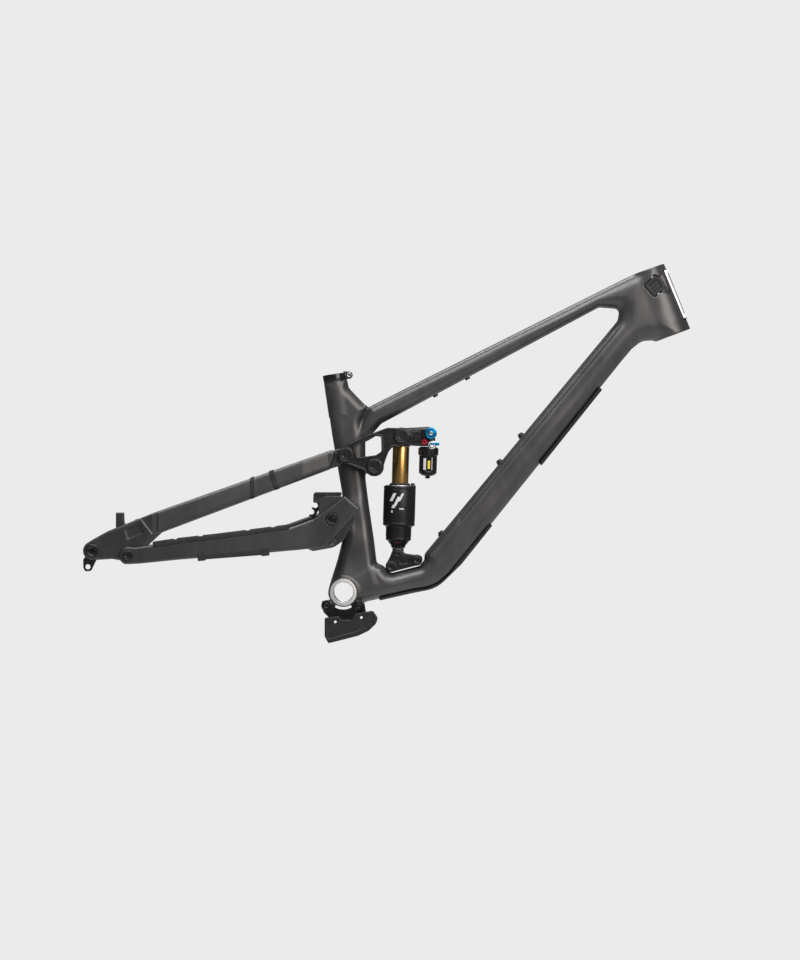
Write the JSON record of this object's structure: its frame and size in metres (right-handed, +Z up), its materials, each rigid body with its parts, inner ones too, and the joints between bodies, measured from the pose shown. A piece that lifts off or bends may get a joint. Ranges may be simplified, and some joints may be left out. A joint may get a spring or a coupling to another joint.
{
  "type": "bicycle frame",
  "caption": "Full-suspension mountain-bike frame: moulded front triangle, pivoting chainstay, seatstays and rocker link, air shock, high-pivot idler, chain guide and rear axle.",
  "frame": {"origin": "centre of the bottom bracket", "axes": "+X forward along the bike, +Y to the rider's left along the crank axis, +Z up, with the nose about 4 degrees lower than on level ground"},
  "size_m": [1.0545, 0.1892, 0.6614],
  "materials": {
    "carbon": "satin clear coat over charcoal carbon laminate",
    "black_alloy": "satin black anodised aluminium",
    "rubber": "matt moulded rubber",
    "plastic": "fine-grained moulded nylon",
    "steel": "ground",
    "silver": "bright machined",
    "gold": "polished gold anodised",
    "blue": "blue anodised",
    "red": "red anodised"
  },
  "bodies": {
    "front": {"front_triangle": "carbon", "bottom_bracket_shell": "silver", "seat_clamp": "black_alloy", "seat_clamp_bolt": "steel", "head_badge": "black_alloy", "cable_port_right": "plastic", "cable_port_left": "plastic", "downtube_guard_lower": "rubber", "downtube_guard_upper": "rubber", "bottle_bolt_1": "black_alloy", "bottle_bolt_2": "black_alloy", "bottle_bolt_3": "black_alloy", "chainguide_backplate": "black_alloy", "chainguide_bolt_1": "black_alloy", "chainguide_bolt_2": "black_alloy", "bash_guard": "plastic", "shock_mount": "black_alloy", "shock_mount_bolt_1": "black_alloy", "shock_mount_bolt_2": "black_alloy", "shock_eyelet_bolt": "black_alloy", "main_pivot_axle": "steel", "main_pivot_cap": "black_alloy", "rocker_axle": "black_alloy", "rocker_axle_nut": "black_alloy"},
    "idler": {"idler_wheel": "black_alloy", "idler_bearing": "steel"},
    "chainstay": {"chainstay": "carbon", "main_bearing_right": "steel", "main_bearing_left": "steel", "idler_guard": "plastic", "chainstay_guard_upper": "rubber", "chainstay_guard_lower": "rubber", "horst_bolt_right": "black_alloy", "horst_bolt_left": "black_alloy"},
    "seatstay": {"seatstay_right": "carbon", "seatstay_left": "carbon", "derailleur_hanger": "black_alloy", "hanger_bolt": "silver", "rear_axle": "black_alloy"},
    "rocker": {"rocker_link": "black_alloy", "rocker_bearing_right": "steel", "rocker_bearing_left": "steel", "stay_bolt_right": "black_alloy", "stay_bolt_left": "black_alloy", "shock_bolt_right": "black_alloy", "shock_bolt_left": "black_alloy"},
    "shock_can": {"air_can": "black_alloy", "shock_eyelet": "black_alloy", "shaft_wiper": "rubber", "air_valve": "black_alloy"},
    "shock_shaft": {"shock_shaft": "gold", "air_piston": "silver", "shock_head": "black_alloy", "shock_reservoir": "black_alloy"},
    "compression_knob": {"compression_knob": "blue"},
    "rebound_knob": {"rebound_knob": "red"},
    "lockout_lever": {"lockout_lever": "blue"}
  },
  "joints": [
    {"name": "chainstay_pivot", "type": "hinge", "parent": "front", "child": "chainstay", "pos_m": [-0.02, 0, 0.1275], "axis": [0, 1, 0], "range_deg": [0, 24], "stiffness_Nm_per_rad": 1500, "springref_deg": -1.15},
    {"name": "horst_pivot", "type": "hinge", "parent": "chainstay", "child": "seatstay", "pos_m": [-0.3706, 0, 0.0648], "axis": [0, 1, 0], "range_deg": [-7.25, 0]},
    {"name": "rocker_pivot", "type": "hinge", "parent": "front", "child": "rocker", "pos_m": [0.0537, 0, 0.2183], "axis": [0, 1, 0], "range_deg": [0, 56.4]},
    {"name": "shock_eyelet_pivot", "type": "hinge", "parent": "front", "child": "shock_can", "pos_m": [0.0948, 0, 0.0662], "axis": [0, 1, 0], "range_deg": [0, 9.85]},
    {"name": "shock_stroke", "type": "slide", "parent": "shock_can", "child": "shock_shaft", "axis": [-0.0298, 0, -0.9996], "range_m": [0, 0.06]},
    {"name": "idler_spin", "type": "hinge", "parent": "front", "child": "idler", "pos_m": [-0.02, 0, 0.1275], "axis": [0, 1, 0], "continuous": true},
    {"name": "compression_dial", "type": "hinge", "parent": "shock_shaft", "child": "compression_knob", "pos_m": [0.1525, -0.0153, 0.2768], "axis": [0, 1, 0], "range_deg": [-150, 150]},
    {"name": "rebound_dial", "type": "hinge", "parent": "shock_shaft", "child": "rebound_knob", "pos_m": [0.1412, -0.0153, 0.2616], "axis": [0, 1, 0], "range_deg": [-150, 150]},
    {"name": "lockout_turn", "type": "hinge", "parent": "shock_shaft", "child": "lockout_lever", "pos_m": [0.1545, -0.0179, 0.2566], "axis": [0, 1, 0], "range_deg": [0, 60]}
  ],
  "couplings": [
    {"joint": "horst_pivot", "follows": "chainstay_pivot", "ratio": -0.30157},
    {"joint": "rocker_pivot", "follows": "chainstay_pivot", "ratio": 2.3479},
    {"joint": "shock_eyelet_pivot", "follows": "chainstay_pivot", "ratio": 0.40974},
    {"joint": "shock_stroke", "follows": "chainstay_pivot", "m_per_rad": 0.14322}
  ]
}
